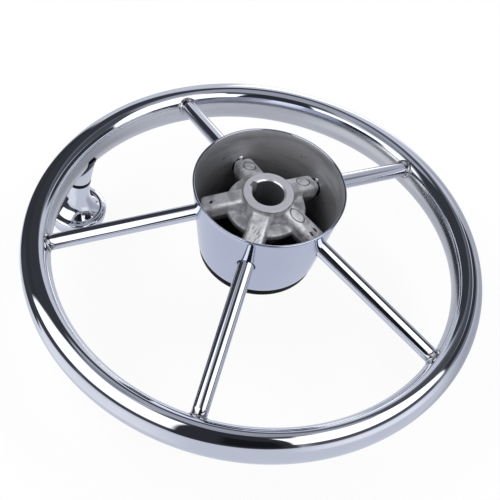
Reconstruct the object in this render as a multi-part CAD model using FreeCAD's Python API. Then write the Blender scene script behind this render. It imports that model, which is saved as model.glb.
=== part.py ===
import FreeCAD, Part
import math
import os

# Five-spoke stainless steering wheel for a small boat, with a turning knob on its rim.
# Millimetres. The origin is the centre of the tapered bore's mouth, on the rear face of the
# hub casting. +Z runs along the helm shaft's axis towards the helm, +X over the first spoke.

V = FreeCAD.Vector
Z_AXIS = V(0, 0, 1)
CENTRE = V(0, 0, 0)

# Rim and spokes
WHEEL_D = 280.0
RIM_TUBE_D = 19.5
RIM_WALL = 1.2
SPOKE_COUNT = 5
SPOKE_D = 9.5
SPOKE_SLOPE = 22.75
SPOKE_APEX_DROP = 3.3
SPOKE_RIM_LIFT = 2.5
SPOKE_ROOT_R = 17.5
WELD_LEG = 1.2
WELD_RISE = 1.1

# Tapered bore for a 3/4 inch helm shaft, one in twelve on the diameter
BORE_LARGE_D = 18.5
BORE_TAPER = 1.0 / 12.0
BORE_CHAMFER = 0.9
KEYWAY_W = 4.76
KEYWAY_DEPTH = 2.38

# Hub casting
BOSS_D = 30.2
BOSS_LENGTH = 30.0
BOSS_DRAFT = 2.0
BOSS_EDGE_R = 0.8
DISC_D = 46.6
DISC_DROP = 11.0
DISC_THICKNESS = 4.0
DISC_EDGE_R = 1.2
NUT_SEAT_D = 26.0
NUT_SEAT_DEPTH = 1.5
ARM_WIDTH = 13.0
ARM_TOP_WIDTH = 10.4
ARM_HEIGHT = 12.6
ARM_CORNER_R = 2.6
ARM_END_R = 2.0
ARM_END_GAP = 3.3
ARM_START_R = 12.2
PARTING_PROUD = 0.25
PARTING_THICKNESS = 0.7
PAD_LENGTH = 9.6
PAD_WIDTH = 6.2
PAD_PROUD = 0.35

# Hub shell, spun from sheet
SHELL_OPEN_D = 88.2
SHELL_FRONT_D = 70.2
SHELL_HEIGHT = 53.7
SHELL_RISE = 6.0
SHELL_SHEET = 1.2
SHELL_LIP_W = 4.2
SHELL_BEND_R = 1.8
SPOKE_HOLE_CLEARANCE = 0.1

# Centre cap, moulded black plastic
CAP_D = 68.4
CAP_EDGE_H = 4.8
CAP_DOME_H = 1.6
CAP_EDGE_R = 1.4
CAP_SKIRT_H = 8.0
CAP_WALL = 2.2
CAP_CLEARANCE = 0.15
CAP_SNAP_PROUD = 0.8
CAP_SNAP_H = 1.6

# Turning knob
KNOB_AZIMUTH = 180.0
SPINDLE_D = 8.0
INSERT_D = 12.6
INSERT_LENGTH = 8.4
SADDLE_LENGTH = 13.5
SADDLE_END_D = 15.0
SADDLE_FLARE = 6.0
SPINDLE_FLANGE_D = 12.4
SPINDLE_FLANGE_H = 2.0
THRUST_WASHER_D = 15.2
THRUST_WASHER_H = 1.6
KNOB_END_GAP = 0.2
KNOB_LENGTH = 38.3
KNOB_NECK_D = 14.4
KNOB_NECK_LENGTH = 7.6
KNOB_COVE_LENGTH = 17.3
KNOB_HEAD_D = 37.4
KNOB_BEAD_W = 3.7
KNOB_BEAD_REAR_H = 2.2
KNOB_GROOVE = 0.5
BUSH_D = 11.0
BUSH_LENGTH = 8.5
BUSH_FLANGE_D = 16.0
BUSH_FLANGE_H = 1.2
RUNNING_CLEARANCE = 0.05
RECESS_D = 20.0
RECESS_DEPTH = 17.6
RETAINER_D = 14.0
RETAINER_H = 1.2
RETAINER_END_GAP = 0.3
SCREW_D = 5.0
SCREW_LENGTH = 9.0
SCREW_HEAD_D = 9.0
SCREW_HEAD_H = 3.4
SCREW_SOCKET_ACROSS = 3.0
SCREW_SOCKET_DEPTH = 2.0
END_CAP_SKIRT = 5.0
END_CAP_DOME_H = 1.8
END_CAP_WALL = 2.0

# Places worked out from the sizes
slope = math.radians(SPOKE_SLOPE)
rim_radius = (WHEEL_D - RIM_TUBE_D) / 2
tube_r = RIM_TUBE_D / 2
rim_z = -(SPOKE_APEX_DROP + rim_radius * math.tan(slope) + SPOKE_RIM_LIFT)
shell_rear_z = SHELL_RISE
shell_front_z = SHELL_RISE - SHELL_HEIGHT
shell_taper = (SHELL_OPEN_D - SHELL_FRONT_D) / 2 / SHELL_HEIGHT
knob_place = V(
    rim_radius * math.cos(math.radians(KNOB_AZIMUTH)),
    rim_radius * math.sin(math.radians(KNOB_AZIMUTH)),
    0,
)
saddle_end_z = rim_z - tube_r - SADDLE_LENGTH
knob_top_z = saddle_end_z - THRUST_WASHER_H - KNOB_END_GAP
knob_front_z = knob_top_z - KNOB_LENGTH
recess_floor_z = knob_front_z + RECESS_DEPTH


def spoke_angle(index):
    return 360.0 * index / SPOKE_COUNT


def turned(shape, degrees):
    """Copy of a shape turned about the shaft's axis."""
    copy = shape.copy()
    copy.rotate(CENTRE, Z_AXIS, degrees)
    return copy


def on_knob(shape):
    """Shape modelled on the Z axis, moved to the knob's axis."""
    copy = shape.copy()
    copy.translate(knob_place)
    return copy


def line(a, b):
    return Part.LineSegment(V(a[0], 0, a[1]), V(b[0], 0, b[1])).toShape()


def quarter_ellipse(centre, radial_point, axial_point):
    """Quarter of an ellipse in the XZ plane between two of its vertices."""
    middle = V(centre[0], 0, centre[1])
    radial = V(radial_point[0], 0, radial_point[1])
    axial = V(axial_point[0], 0, axial_point[1])
    if (radial - middle).Length >= (axial - middle).Length:
        curve = Part.Ellipse(radial, axial, middle)
    else:
        curve = Part.Ellipse(axial, radial, middle)
    return Part.ArcOfEllipse(curve, 0, math.pi / 2).toShape()


def revolved(edges):
    """Solid turned about the Z axis from the edges of a closed profile in the XZ plane."""
    wire = Part.Wire(Part.__sortEdges__(edges))
    return Part.Face(wire).revolve(CENTRE, Z_AXIS, 360)


def revolved_outline(points):
    corners = [V(r, 0, z) for r, z in points]
    wire = Part.makePolygon(corners + corners[:1])
    return Part.Face(wire).revolve(CENTRE, Z_AXIS, 360)


def rod(diameter, z_low, z_high):
    return Part.makeCylinder(diameter / 2, z_high - z_low, V(0, 0, z_low))


def ring(outer_d, inner_d, z_low, z_high):
    return rod(outer_d, z_low, z_high).cut(rod(inner_d, z_low, z_high))


def rounded_at(solid, radius, ring_radius, z):
    """Round the circular edge of a turned solid at a given radius and height."""
    edges = []
    for edge in solid.Edges:
        box = edge.BoundBox
        flat = abs(box.ZMax - z) < 1e-3 and abs(box.ZMin - z) < 1e-3
        if flat and abs(box.XMax - ring_radius) < 1e-3:
            edges.append(edge)
    return solid.makeFillet(radius, edges)


def rim_outside():
    """Solid ring with the rim tube's outer surface."""
    return Part.makeTorus(rim_radius, tube_r, V(0, 0, rim_z))


def along_spoke(distance_from_shaft):
    """Point on the first spoke's axis at a distance from the shaft's axis."""
    return V(distance_from_shaft, 0, -SPOKE_APEX_DROP - distance_from_shaft * math.tan(slope))


spoke_direction = V(math.cos(slope), 0, -math.sin(slope))


def spoke_rod(diameter, inner_r, outer_r):
    length = (outer_r - inner_r) / math.cos(slope)
    return Part.makeCylinder(diameter / 2, length, along_spoke(inner_r), spoke_direction)


def make_rim():
    """Bent tube closed into a ring, with a hole in its front for the knob's insert."""
    hollow = Part.makeTorus(rim_radius, tube_r - RIM_WALL, V(0, 0, rim_z))
    hole = rod(INSERT_D, rim_z - RIM_TUBE_D, rim_z - tube_r / 2)
    return rim_outside().cut(hollow).cut(on_knob(hole))


def make_spoke():
    """Round bar cast into its arm and coped to the rim."""
    return spoke_rod(SPOKE_D, SPOKE_ROOT_R, rim_radius).cut(rim_outside())


def make_weld():
    """Bead round the spoke where it meets the rim, following the tube's surface."""
    inner_r = rim_radius - 3 * tube_r
    swollen_tube = Part.makeTorus(rim_radius, tube_r + WELD_RISE, V(0, 0, rim_z))
    band = spoke_rod(SPOKE_D + 2 * WELD_LEG, inner_r, rim_radius).common(swollen_tube)
    bar = spoke_rod(SPOKE_D, inner_r, rim_radius + tube_r)
    return band.cut(bar).cut(rim_outside())


def make_rim_welds():
    bead = make_weld()
    return Part.makeCompound([turned(bead, spoke_angle(i)) for i in range(SPOKE_COUNT)])


def bore_radius(depth):
    return (BORE_LARGE_D - depth * BORE_TAPER) / 2


def make_boss():
    """Boss and disc of the casting, turned with the tapered bore through them."""
    draft = math.tan(math.radians(BOSS_DRAFT))
    boss_r = BOSS_D / 2
    disc_rear = -DISC_DROP
    disc_front = disc_rear - DISC_THICKNESS
    front = -BOSS_LENGTH
    seat = front + NUT_SEAT_DEPTH
    seat_r = NUT_SEAT_D / 2
    front_r = boss_r + draft * DISC_DROP - draft * (BOSS_LENGTH - DISC_DROP)
    boss = revolved_outline(
        [
            (BORE_LARGE_D / 2 + BORE_CHAMFER, 0),
            (boss_r, 0),
            (boss_r + draft * DISC_DROP, disc_rear),
            (DISC_D / 2, disc_rear),
            (DISC_D / 2, disc_front),
            (boss_r + draft * DISC_DROP, disc_front),
            (front_r, front),
            (seat_r, front),
            (seat_r, seat),
            (bore_radius(-seat), seat),
            (bore_radius(BORE_CHAMFER), -BORE_CHAMFER),
        ]
    )
    boss = rounded_at(boss, BOSS_EDGE_R, boss_r, 0)
    return rounded_at(boss, DISC_EDGE_R, DISC_D / 2, disc_rear)


def arm_section():
    """Drafted arm section in the YZ plane, widest at the parting line."""
    half = ARM_WIDTH / 2
    top = ARM_TOP_WIDTH / 2
    high = ARM_HEIGHT / 2
    corners = [(half, 0), (top, high), (-top, high), (-half, 0), (-top, -high), (top, -high)]
    points = [V(0, y, z) for y, z in corners]
    return Part.Face(Part.makePolygon(points + points[:1]))


def shell_inner_r(z):
    """Inner radius of the hub shell at a height."""
    return SHELL_OPEN_D / 2 - shell_taper * (shell_rear_z - z) - SHELL_SHEET


def arm_end_radius():
    """Radius where an arm stops short of the shell, on the spoke's axis."""
    reach = shell_inner_r(-SPOKE_APEX_DROP) - ARM_END_GAP
    return reach / (1 + shell_taper * math.tan(slope))


def make_arm():
    """One arm of the casting along the first spoke, with rounded corners and end."""
    start = ARM_START_R / math.cos(slope)
    length = arm_end_radius() / math.cos(slope) - start
    arm = arm_section().extrude(V(length, 0, 0))
    half_high = ARM_HEIGHT / 2
    long_edges = []
    end_edges = []
    for edge in arm.Edges:
        box = edge.BoundBox
        at_corner = abs(abs(box.ZMax) - half_high) < 1e-6 and abs(box.ZMax - box.ZMin) < 1e-6
        if box.XMax - box.XMin > length / 2 and at_corner:
            long_edges.append(edge)
    arm = arm.makeFillet(ARM_CORNER_R, long_edges)
    for edge in arm.Edges:
        if edge.BoundBox.XMin > length - 1e-3:
            end_edges.append(edge)
    arm = arm.makeFillet(ARM_END_R, end_edges)
    flash = Part.makeBox(
        length - ARM_END_R,
        ARM_WIDTH + 2 * PARTING_PROUD,
        PARTING_THICKNESS,
        V(0, -ARM_WIDTH / 2 - PARTING_PROUD, -PARTING_THICKNESS / 2),
    )
    arm = arm.fuse(flash)
    arm.translate(V(start, 0, 0))
    arm.rotate(CENTRE, V(0, 1, 0), SPOKE_SLOPE)
    arm.translate(V(0, 0, -SPOKE_APEX_DROP))
    return arm


def make_pad(distance):
    """Oval pad left on an arm's rear face where the mould was fed."""
    oval = Part.Ellipse(CENTRE, PAD_LENGTH / 2, PAD_WIDTH / 2).toShape()
    pad = Part.Face(Part.Wire([oval])).extrude(V(0, 0, ARM_HEIGHT / 4 + PAD_PROUD))
    pad.translate(V(distance / math.cos(slope), 0, ARM_HEIGHT / 4))
    pad.rotate(CENTRE, V(0, 1, 0), SPOKE_SLOPE)
    pad.translate(V(0, 0, -SPOKE_APEX_DROP))
    return pad


def make_hub_casting():
    """Boss, disc and five arms in one casting, with the spokes' sockets and the keyway."""
    middle = (BOSS_D / 2 + arm_end_radius()) / 2
    pad_places = {0: middle - PAD_LENGTH / 2, 1: middle + PAD_LENGTH / 4, 2: middle + PAD_LENGTH / 4}
    arm = make_arm()
    pieces = []
    sockets = []
    for i in range(SPOKE_COUNT):
        pieces.append(turned(arm, spoke_angle(i)))
        sockets.append(turned(spoke_rod(SPOKE_D, SPOKE_ROOT_R, SHELL_OPEN_D / 2), spoke_angle(i)))
        if i in pad_places:
            pieces.append(turned(make_pad(pad_places[i]), spoke_angle(i)))
    bore = rod(BORE_LARGE_D, -BOSS_LENGTH, 0)
    slot_reach = BORE_LARGE_D / 2 + KEYWAY_DEPTH
    keyway = Part.makeBox(
        slot_reach, KEYWAY_W, BOSS_LENGTH, V(-slot_reach, -KEYWAY_W / 2, -BOSS_LENGTH)
    )
    arms = pieces[0].multiFuse(pieces[1:]).cut(bore)
    casting = make_boss().fuse(arms).cut(keyway)
    for socket in sockets:
        casting = casting.cut(socket)
    return casting.removeSplitter()


def make_hub_shell():
    """Tapered cup of sheet, open at the rear, with an in-turned lip at the front."""
    open_r = SHELL_OPEN_D / 2
    front_r = SHELL_FRONT_D / 2
    lip_r = front_r - SHELL_LIP_W
    shell = revolved_outline(
        [
            (open_r, shell_rear_z),
            (front_r, shell_front_z),
            (lip_r, shell_front_z),
            (lip_r, shell_front_z + SHELL_SHEET),
            (shell_inner_r(shell_front_z + SHELL_SHEET), shell_front_z + SHELL_SHEET),
            (open_r - SHELL_SHEET, shell_rear_z),
        ]
    )
    shell = rounded_at(shell, SHELL_BEND_R, front_r, shell_front_z)
    hole_d = SPOKE_D + 2 * SPOKE_HOLE_CLEARANCE
    hole = spoke_rod(hole_d, arm_end_radius(), open_r + SPOKE_D)
    for i in range(SPOKE_COUNT):
        shell = shell.cut(turned(hole, spoke_angle(i)))
    return shell


def make_centre_cap():
    """Domed cap seated on the shell's lip, with a skirt and a snap ridge behind the lip."""
    skirt_r = SHELL_FRONT_D / 2 - SHELL_LIP_W - CAP_CLEARANCE
    face_z = shell_front_z - CAP_EDGE_H
    floor_z = shell_front_z - CAP_EDGE_H + CAP_WALL
    top_z = shell_front_z + CAP_SKIRT_H
    ridge_z = shell_front_z + SHELL_SHEET + CAP_CLEARANCE
    bore_r = skirt_r - CAP_WALL
    dome = Part.Arc(
        V(0, 0, face_z - CAP_DOME_H),
        V(CAP_D / 4, 0, face_z - CAP_DOME_H * 3 / 4),
        V(CAP_D / 2, 0, face_z),
    ).toShape()
    cap = revolved(
        [
            dome,
            line((CAP_D / 2, face_z), (CAP_D / 2, shell_front_z)),
            line((CAP_D / 2, shell_front_z), (skirt_r, shell_front_z)),
            line((skirt_r, shell_front_z), (skirt_r, ridge_z)),
            line((skirt_r, ridge_z), (skirt_r + CAP_SNAP_PROUD, ridge_z)),
            line((skirt_r + CAP_SNAP_PROUD, ridge_z), (skirt_r, ridge_z + CAP_SNAP_H)),
            line((skirt_r, ridge_z + CAP_SNAP_H), (skirt_r, top_z)),
            line((skirt_r, top_z), (bore_r, top_z)),
            line((bore_r, top_z), (bore_r, floor_z)),
            line((bore_r, floor_z), (0, floor_z)),
            line((0, floor_z), (0, face_z - CAP_DOME_H)),
        ]
    )
    return rounded_at(cap, CAP_EDGE_R, CAP_D / 2, face_z)


def make_knob_insert():
    """Threaded bush welded into the rim's front wall, flush with the tube outside."""
    low = rim_z - RIM_TUBE_D
    high = rim_z - tube_r + INSERT_LENGTH
    insert = on_knob(rod(INSERT_D, low, high)).common(rim_outside())
    return insert.cut(on_knob(rod(SPINDLE_D, low, high)))


def make_knob_saddle():
    """Tapered collar coped to the rim tube, with a seat for the spindle's flange."""
    end_r = SADDLE_END_D / 2
    root_r = end_r + math.tan(math.radians(SADDLE_FLARE)) * (rim_z - saddle_end_z)
    body = Part.makeCone(end_r, root_r, rim_z - saddle_end_z, V(0, 0, saddle_end_z))
    body = body.cut(rod(SPINDLE_D, saddle_end_z, rim_z))
    seat = rod(SPINDLE_FLANGE_D, saddle_end_z, saddle_end_z + SPINDLE_FLANGE_H)
    return on_knob(body.cut(seat)).cut(rim_outside())


def spindle_end_z():
    """End of the spindle, just past the lower bush's flange."""
    return recess_floor_z - BUSH_FLANGE_H - RETAINER_END_GAP


def make_knob_spindle():
    """Stud screwed into the insert, flanged against the saddle, tapped at its end."""
    top = rim_z - tube_r + INSERT_LENGTH
    stud = rod(SPINDLE_D, spindle_end_z(), top)
    flange = rod(SPINDLE_FLANGE_D, saddle_end_z, saddle_end_z + SPINDLE_FLANGE_H)
    tapped = rod(SCREW_D, spindle_end_z(), spindle_end_z() + SCREW_LENGTH)
    return on_knob(stud.fuse(flange).cut(tapped).removeSplitter())


def make_knob_washer():
    """Thrust washer between the saddle and the turning knob."""
    inner_d = SPINDLE_D + 2 * RUNNING_CLEARANCE
    return on_knob(ring(THRUST_WASHER_D, inner_d, saddle_end_z - THRUST_WASHER_H, saddle_end_z))


def make_knob_body():
    """Turned knob: neck, cove, groove, rounded bead and front, bored for bushes and cap."""
    neck_r = KNOB_NECK_D / 2
    head_r = KNOB_HEAD_D / 2
    bead_r = head_r - KNOB_BEAD_W
    cove_z = knob_top_z - KNOB_NECK_LENGTH
    bead_z = cove_z - KNOB_COVE_LENGTH
    wide_z = bead_z - KNOB_BEAD_REAR_H
    recess_r = RECESS_D / 2
    edges = [
        line((BUSH_D / 2, knob_top_z), (neck_r, knob_top_z)),
        line((neck_r, knob_top_z), (neck_r, cove_z)),
        quarter_ellipse(
            (bead_r - KNOB_GROOVE, cove_z),
            (neck_r, cove_z),
            (bead_r - KNOB_GROOVE, bead_z - KNOB_GROOVE),
        ),
        line((bead_r - KNOB_GROOVE, bead_z - KNOB_GROOVE), (bead_r, bead_z)),
        quarter_ellipse((bead_r, wide_z), (head_r, wide_z), (bead_r, bead_z)),
        quarter_ellipse((bead_r, wide_z), (head_r, wide_z), (bead_r, knob_front_z)),
        line((bead_r, knob_front_z), (recess_r, knob_front_z)),
        line((recess_r, knob_front_z), (recess_r, recess_floor_z)),
        line((recess_r, recess_floor_z), (BUSH_D / 2, recess_floor_z)),
        line((BUSH_D / 2, recess_floor_z), (BUSH_D / 2, knob_top_z)),
    ]
    return on_knob(revolved(edges))


def bush_bore():
    return SPINDLE_D + 2 * RUNNING_CLEARANCE


def make_knob_bush_upper():
    return on_knob(ring(BUSH_D, bush_bore(), knob_top_z - BUSH_LENGTH, knob_top_z))


def make_knob_bush_lower():
    """Flanged bush pressed up from the recess."""
    sleeve = rod(BUSH_D, recess_floor_z, recess_floor_z + BUSH_LENGTH)
    flange = rod(BUSH_FLANGE_D, recess_floor_z - BUSH_FLANGE_H, recess_floor_z)
    bore = rod(bush_bore(), recess_floor_z - BUSH_FLANGE_H, recess_floor_z + BUSH_LENGTH)
    return on_knob(sleeve.fuse(flange).cut(bore).removeSplitter())


def make_knob_retainer():
    """Washer held on the spindle's end by the screw."""
    return on_knob(ring(RETAINER_D, SCREW_D, spindle_end_z() - RETAINER_H, spindle_end_z()))


def make_knob_screw():
    """Cap screw with a hexagon socket."""
    under_head = spindle_end_z() - RETAINER_H
    shank = rod(SCREW_D, under_head, spindle_end_z() + SCREW_LENGTH)
    head = rod(SCREW_HEAD_D, under_head - SCREW_HEAD_H, under_head)
    corners = []
    for i in range(7):
        angle = math.radians(60 * i)
        reach = SCREW_SOCKET_ACROSS / 2 / math.cos(math.radians(30))
        place = V(reach * math.cos(angle), reach * math.sin(angle), under_head - SCREW_HEAD_H)
        corners.append(place)
    socket = Part.Face(Part.makePolygon(corners)).extrude(V(0, 0, SCREW_SOCKET_DEPTH))
    return on_knob(head.fuse(shank).cut(socket).removeSplitter())


def make_knob_end_cap():
    """Domed cap pressed into the front of the knob."""
    edge_r = RECESS_D / 2
    inner_z = knob_front_z + END_CAP_SKIRT
    bore_r = edge_r - END_CAP_WALL
    dome = Part.Arc(
        V(0, 0, knob_front_z - END_CAP_DOME_H),
        V(edge_r / 2, 0, knob_front_z - END_CAP_DOME_H * 3 / 4),
        V(edge_r, 0, knob_front_z),
    ).toShape()
    edges = [
        dome,
        line((edge_r, knob_front_z), (edge_r, inner_z)),
        line((edge_r, inner_z), (bore_r, inner_z)),
        line((bore_r, inner_z), (bore_r, knob_front_z + END_CAP_WALL)),
        line((bore_r, knob_front_z + END_CAP_WALL), (0, knob_front_z + END_CAP_WALL)),
        line((0, knob_front_z + END_CAP_WALL), (0, knob_front_z - END_CAP_DOME_H)),
    ]
    return on_knob(revolved(edges))


def make_nodes():
    nodes = {
        "rim": make_rim(),
        "rim_welds": make_rim_welds(),
        "hub_casting": make_hub_casting(),
        "hub_shell": make_hub_shell(),
        "centre_cap": make_centre_cap(),
        "knob_insert": make_knob_insert(),
        "knob_saddle": make_knob_saddle(),
        "knob_spindle": make_knob_spindle(),
        "knob_washer": make_knob_washer(),
        "knob_body": make_knob_body(),
        "knob_bush_upper": make_knob_bush_upper(),
        "knob_bush_lower": make_knob_bush_lower(),
        "knob_retainer": make_knob_retainer(),
        "knob_screw": make_knob_screw(),
        "knob_end_cap": make_knob_end_cap(),
    }
    spoke = make_spoke()
    for i in range(SPOKE_COUNT):
        nodes["spoke_%d" % (i + 1)] = turned(spoke, spoke_angle(i))
    return nodes


os.makedirs("parts", exist_ok=True)
for name, shape in make_nodes().items():
    shape.exportStep("parts/%s.step" % name)
    print(name, len(shape.Solids), shape.isValid(), round(shape.Volume, 1))
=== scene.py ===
import math

import bmesh
import bpy
from mathutils import Matrix, Vector, noise


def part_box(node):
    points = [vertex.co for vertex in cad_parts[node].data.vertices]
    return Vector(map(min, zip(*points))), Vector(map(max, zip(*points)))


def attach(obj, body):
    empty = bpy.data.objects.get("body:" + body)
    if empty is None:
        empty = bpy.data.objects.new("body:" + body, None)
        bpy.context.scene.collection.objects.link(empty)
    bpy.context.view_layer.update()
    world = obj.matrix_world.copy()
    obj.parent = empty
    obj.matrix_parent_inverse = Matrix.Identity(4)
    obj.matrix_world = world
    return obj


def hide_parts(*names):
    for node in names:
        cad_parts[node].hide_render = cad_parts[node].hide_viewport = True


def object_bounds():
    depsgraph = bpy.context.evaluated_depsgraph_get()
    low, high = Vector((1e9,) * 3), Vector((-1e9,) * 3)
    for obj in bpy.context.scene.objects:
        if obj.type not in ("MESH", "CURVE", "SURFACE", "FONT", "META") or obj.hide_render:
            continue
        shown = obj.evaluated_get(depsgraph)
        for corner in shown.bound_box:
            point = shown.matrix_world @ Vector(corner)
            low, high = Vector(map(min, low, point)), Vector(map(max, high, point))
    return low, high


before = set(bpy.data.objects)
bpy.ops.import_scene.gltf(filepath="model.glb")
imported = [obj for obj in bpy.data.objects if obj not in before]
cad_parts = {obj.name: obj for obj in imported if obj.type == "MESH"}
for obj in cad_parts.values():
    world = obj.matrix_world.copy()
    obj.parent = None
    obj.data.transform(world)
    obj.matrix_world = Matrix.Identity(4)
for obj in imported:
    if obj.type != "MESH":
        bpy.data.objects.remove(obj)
CAD_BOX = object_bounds()
MM = 0.001

# Sizes read from the frame, in metres
RIM_LOW, RIM_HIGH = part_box("rim")
RIM_Z = (RIM_LOW[2] + RIM_HIGH[2]) / 2
TUBE_R = (RIM_HIGH[2] - RIM_LOW[2]) / 2
RIM_R = (RIM_HIGH[0] - RIM_LOW[0]) / 2 - TUBE_R
SPOKE_LOW, SPOKE_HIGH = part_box("spoke_1")
SPOKE_R = (SPOKE_HIGH[1] - SPOKE_LOW[1]) / 2
SHELL_LOW, SHELL_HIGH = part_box("hub_shell")
SHELL_OPEN_R = (SHELL_HIGH[0] - SHELL_LOW[0]) / 2
KNOB_LOW, KNOB_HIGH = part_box("knob_body")
KNOB_X = (KNOB_LOW[0] + KNOB_HIGH[0]) / 2
KNOB_HEAD_R = (KNOB_HIGH[1] - KNOB_LOW[1]) / 2 - 0.01 * MM
SADDLE_LOW, SADDLE_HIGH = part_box("knob_saddle")

# Sizes of the wheel's pieces, in metres
SPOKE_COUNT = 5
SPOKE_SLOPE = math.radians(22.75)
SPOKE_APEX_Z = -3.3 * MM
WELD_LEG = 1.15 * MM
WELD_LUMP = 0.4 * MM
RIM_HALF_W = 9.1 * MM
RIM_HALF_H = 12.4 * MM
ARM_HALF_H = 6.3 * MM
ARM_END_R = 35.5 * MM
PAD_HALF_L = 4.8 * MM
PAD_HALF_W = 3.1 * MM
PAD_PLACES = (20.5 * MM, 27.7 * MM, 27.7 * MM)
NUB_ARMS = (1, 2)
NUB_ALONG = 38.0 * MM
NUB_ABOVE = 5.9 * MM
NUB_R = 1.7 * MM
SHELL_FRONT_R = 35.1 * MM
SHELL_SHEET = 1.2 * MM
SHELL_LIP_W = 4.2 * MM
SHELL_BEND_R = 1.8 * MM
BORE_MOUTH_R = 9.25 * MM
BORE_TAPER = 1 / 24
BORE_CHAMFER = 0.9 * MM
BORE_DEPTH = 28.5 * MM
BOSS_R = 15.1 * MM
KEYWAY_HALF_W = 2.38 * MM
KNOB_NECK_R = 7.2 * MM
KNOB_NECK_L = 7.6 * MM
KNOB_COVE_L = 17.3 * MM
KNOB_COVE_TURN = 2.6
KNOB_BEAD_W = 3.7 * MM
KNOB_BEAD_REAR_H = 2.2 * MM
KNOB_GROOVE = 0.5 * MM
KNOB_RECESS_R = 10.0 * MM
KNOB_RECESS_L = 5.0 * MM
SADDLE_END_R = 7.5 * MM
SADDLE_FLARE = math.tan(math.radians(6))

# Camera: the photo's view, worked out from the rim's outlines
CAMERA_ELEVATION = math.radians(51.003)
CAMERA_AZIMUTH = math.radians(23.54)
CAMERA_ROLL = math.radians(12.174)
CAMERA_DISTANCE = 863.8 * MM
CAMERA_SHIFT_X = -2.58 * MM
CAMERA_SHIFT_Y = 4.43 * MM
CAMERA_LENS = 103.49
SENSOR = 36.0

SKY_LEVEL = 0.74
SKY_COLOUR = (0.94, 0.97, 1.08, 1)
FLOOR_COLOUR = (0.93, 0.93, 0.93, 1)
FLOOR_GLOW = 0.86
CARD_DISTANCE = 0.62
CARD_STEP = 0.004

# Cards round the wheel: four corners as azimuth and elevation from the rim's centre in
# degrees, anticlockwise from the lower left, then level and softness of the edge
STAGE_CARDS = (
    ("paper_left", (-176, -60), (-70, -60), (-70, 4), (-176, -20), 0.96, 0.3),
    ("paper_middle", (-44, -16), (30, -16), (30, 12), (-44, 10), 1.05, 0.35),
    ("paper_right", (18, -62), (92, -62), (92, 16), (18, 14), 0.48, 0.3),
    ("lid", (-180, 74), (180, 74), (180, 90), (-180, 90), 0.42, 0.05),
    ("wall_far_top", (36, 59), (188, 58), (188, 80), (36, 80), 0.42, 0.18),
    ("wall_left_top", (172, 52), (242, 57), (242, 79), (172, 79), 0.3, 0.2),
    ("wall_near_top", (-122, 60), (30, 66), (30, 80), (-122, 80), 0.1, 0.16),
    ("wall_far_middle", (90, 45), (138, 45), (138, 66), (90, 66), 0.17, 0.12),
    ("horizon_far", (80, -20), (160, -20), (160, -12), (80, -12), 0.2, 0.3),
    ("wall_far_left", (155, -37), (214, -34), (212, 34), (141, 34), 0.043, 0.07),
    ("wall_far_left_top", (137, 20), (212, 20), (212, 64), (100, 64), 0.05, 0.08),
    ("wall_far_right", (22, 15), (72, 17), (90, 38), (28, 44), 0.045, 0.12),
    ("wall_far_right_top", (34, 38), (98, 41), (104, 65), (36, 66), 0.09, 0.14),
    ("wall_far_right_low", (60, -14), (86, -14), (100, 30), (64, 22), 0.5, 0.25),
    ("slot", (86, -16), (122, -16), (124, 30), (110, 30), 1.7, 0.12),
    ("band_left", (-178, -33), (-114, -10), (-114, 6), (-178, 0), 0.06, 0.16),
    ("band_near_left", (-130, -13), (-60, 0), (-60, 15), (-130, 1), 0.07, 0.2),
    ("column", (-84, -7), (-35, 6), (-32, 80), (-85, 78), 0.035, 0.07),
    ("column_dark", (-68, 3), (-39, 9), (-40, 46), (-66, 50), 0.012, 0.2),
    ("band_right", (22, 5), (72, 9), (72, 21), (22, 22), 0.22, 0.25),
    ("band_far", (-44, 7), (33, 9), (33, 28), (-44, 26), 0.1, 0.2),
    ("panel_far", (-39, 23), (28, 24), (49, 64), (-37, 63), 1.7, 0.03),
    ("panel_far_top", (-33, 56), (46, 56), (30, 72), (-12, 72), 1.7, 0.1),
    ("panel_left", (-154, -5), (-80, 10), (-81, 62), (-149, 50), 1.7, 0.05),
)


class Field:
    """A number or colour that varies over a surface. Operators on it add Math nodes."""

    def __init__(self, recipe, socket):
        self.recipe = recipe
        self.socket = socket

    def __add__(self, other):
        return self.recipe.maths("ADD", self, other)

    def __radd__(self, other):
        return self.recipe.maths("ADD", other, self)

    def __sub__(self, other):
        return self.recipe.maths("SUBTRACT", self, other)

    def __rsub__(self, other):
        return self.recipe.maths("SUBTRACT", other, self)

    def __mul__(self, other):
        return self.recipe.maths("MULTIPLY", self, other)

    def __rmul__(self, other):
        return self.recipe.maths("MULTIPLY", other, self)

    def __truediv__(self, other):
        return self.recipe.maths("DIVIDE", self, other)

    def __rtruediv__(self, other):
        return self.recipe.maths("DIVIDE", other, self)


class Recipe:
    """A tree of nodes, with one method that adds any node."""

    def __init__(self, tree):
        self.tree = tree

    def node(self, kind, settings=None, values=(), out=0):
        """Adds a node. Its settings are set first, then the values or links of its sockets."""
        node = self.tree.nodes.new(kind)
        for key, value in (settings or {}).items():
            setattr(node, key, value)
        items = values.items() if isinstance(values, dict) else enumerate(values)
        for key, value in items:
            self.feed(node.inputs[key], value)
        return Field(self, node.outputs[out])

    def feed(self, socket, value):
        if isinstance(value, Field):
            self.tree.links.new(value.socket, socket)
        else:
            socket.default_value = value

    def maths(self, operation, *values):
        return self.node("ShaderNodeMath", {"operation": operation}, values)


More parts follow.
